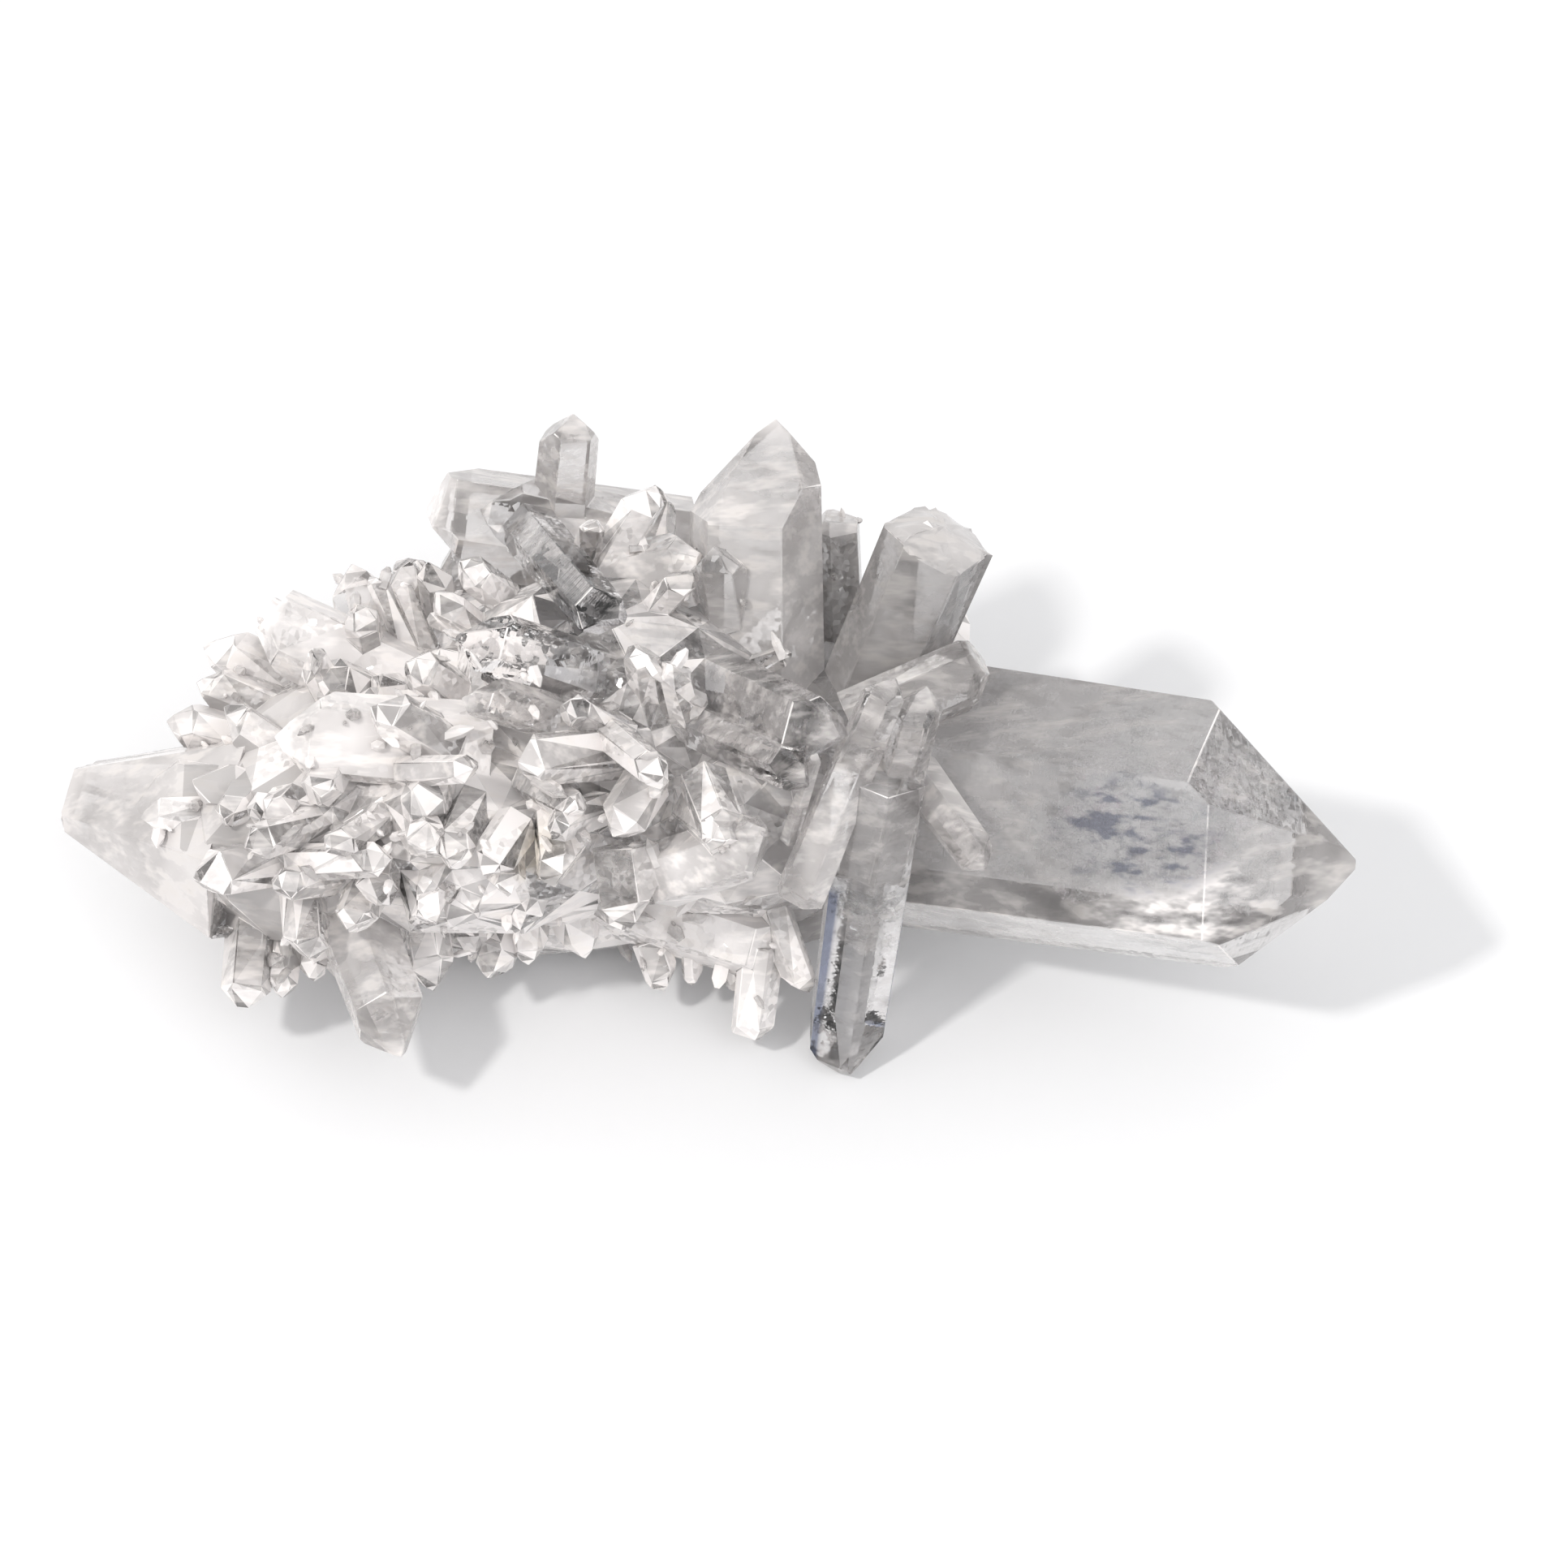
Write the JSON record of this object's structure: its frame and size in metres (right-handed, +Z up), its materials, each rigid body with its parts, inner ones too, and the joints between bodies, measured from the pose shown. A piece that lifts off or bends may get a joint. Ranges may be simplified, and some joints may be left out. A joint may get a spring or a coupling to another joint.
{
  "type": "quartz crystal cluster",
  "caption": "Natural cluster of clear and milky quartz with one long hexagonal point, a second point at the far end and a crowd of small points between, for a mineral display",
  "frame": {"origin": "middle of the bounding box, on the flat underside the cluster rests on", "axes": "+X towards the tip of the long main point, +Y away from the viewer in the picture, +Z up from the underside"},
  "size_m": [0.121, 0.0568, 0.0456],
  "materials": {
    "quartz": "clear to milky natural quartz with glassy crystal faces"
  },
  "bodies": {
    "root": {"quartz_cluster": "quartz"}
  },
  "joints": []
}
